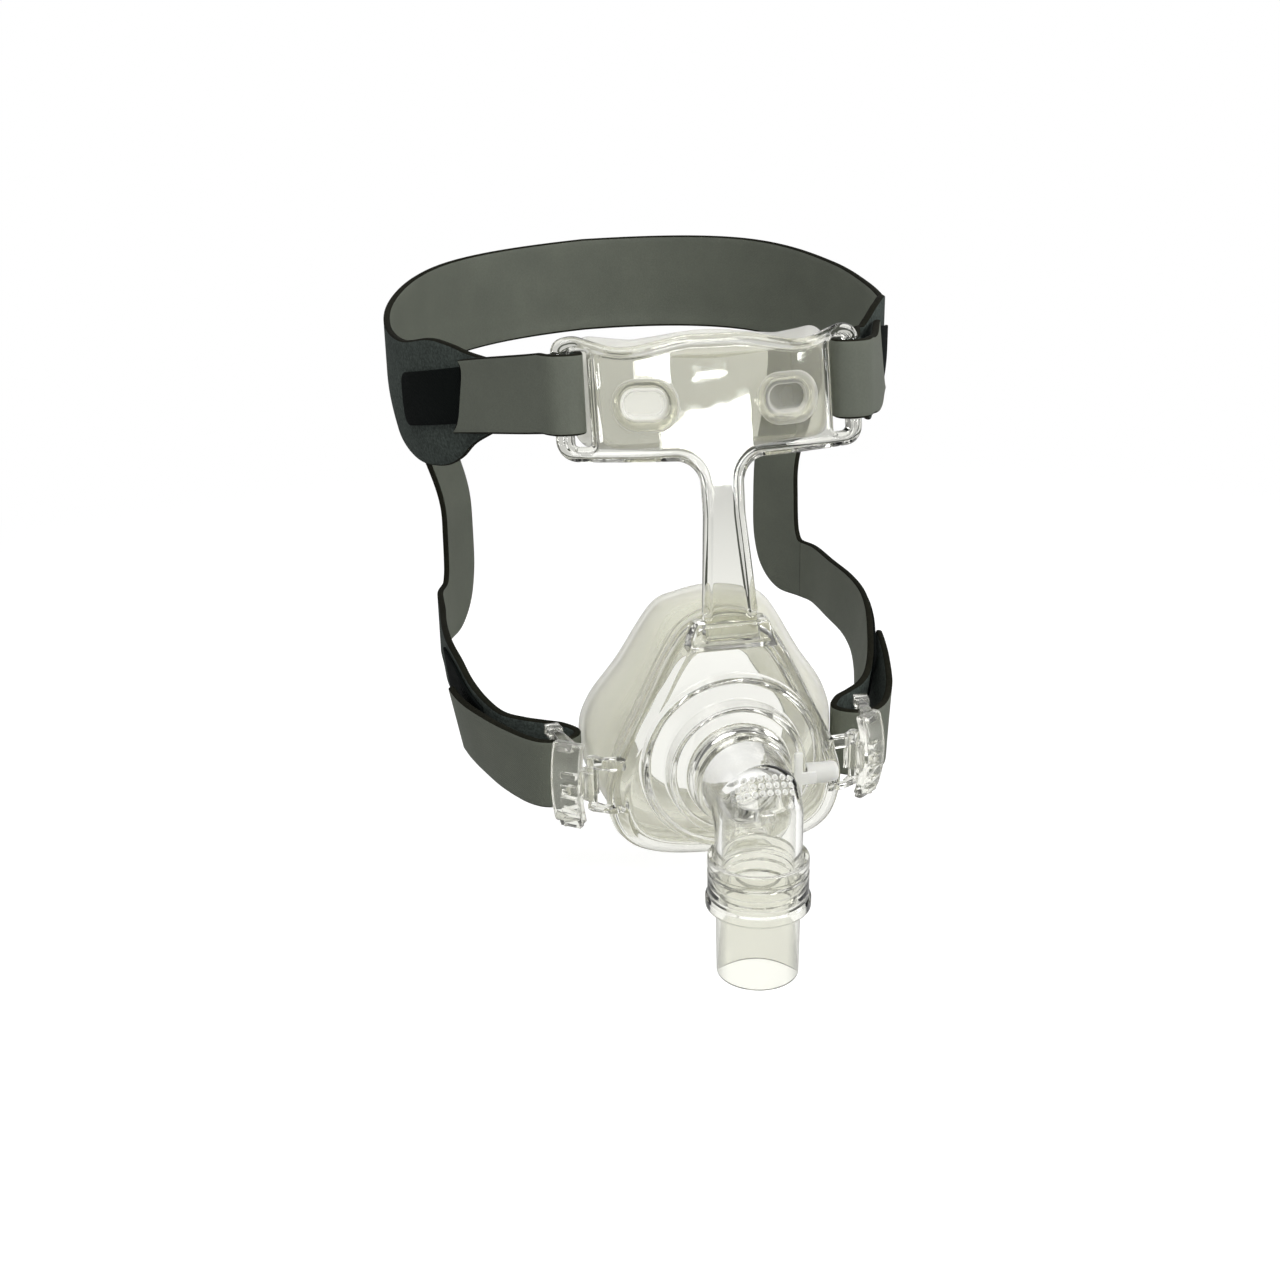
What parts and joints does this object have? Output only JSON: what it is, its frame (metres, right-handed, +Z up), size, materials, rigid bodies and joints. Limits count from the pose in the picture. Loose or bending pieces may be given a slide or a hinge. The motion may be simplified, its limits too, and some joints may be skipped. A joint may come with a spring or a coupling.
{
  "type": "nasal cpap mask",
  "caption": "Clear nasal CPAP mask with silicone cushion, forehead support, vented swivel elbow, side clips and grey fabric headgear, as worn.",
  "frame": {"origin": "on the axis of the elbow's bore, where it crosses the plane in which the cushion meets the face", "axes": "+Y from the elbow towards the wearer's face, +Z up the wearer's forehead, +X to the wearer's left"},
  "size_m": [0.1564, 0.2502, 0.1691],
  "materials": {
    "clear_polycarbonate": "clear gloss",
    "clip_polycarbonate": "clear gloss",
    "silicone": "translucent satin",
    "milky_silicone": "milky satin",
    "headgear_laminate": "smooth grey skin over foam, brushed loop on the other side",
    "hook_fastener": "matt black hooks"
  },
  "bodies": {
    "mask": {"mask_shell": "clear_polycarbonate", "port_cap": "milky_silicone", "face_cushion": "silicone", "forehead_support": "clear_polycarbonate", "forehead_pad": "silicone", "headgear": "headgear_laminate", "lower_strap_right": "headgear_laminate", "lower_strap_left": "headgear_laminate", "upper_hook_tab_right": "hook_fastener", "upper_hook_tab_left": "hook_fastener", "lower_hook_tab_right": "hook_fastener", "lower_hook_tab_left": "hook_fastener"},
    "elbow": {"elbow": "clear_polycarbonate"},
    "hose_swivel": {"hose_swivel": "clear_polycarbonate"},
    "clip_right": {"strap_clip_right": "clip_polycarbonate"},
    "clip_left": {"strap_clip_left": "clip_polycarbonate"}
  },
  "joints": [
    {"name": "elbow_swivel", "type": "hinge", "parent": "mask", "child": "elbow", "pos_m": [0, -0.038, 0], "axis": [0, 1, 0], "continuous": true},
    {"name": "hose_swivel_turn", "type": "hinge", "parent": "elbow", "child": "hose_swivel", "pos_m": [0, -0.0562, -0.0205], "axis": [0, 0, 1], "continuous": true},
    {"name": "clip_right_pivot", "type": "hinge", "parent": "mask", "child": "clip_right", "pos_m": [-0.0376, -0.0212, -0.0062], "axis": [0, 0, 1], "range_deg": [-10, 30], "deforming": ["lower_strap_right"]},
    {"name": "clip_left_pivot", "type": "hinge", "parent": "mask", "child": "clip_left", "pos_m": [0.0376, -0.0212, -0.0062], "axis": [0, 0, 1], "range_deg": [-30, 10], "deforming": ["lower_strap_left"]}
  ]
}
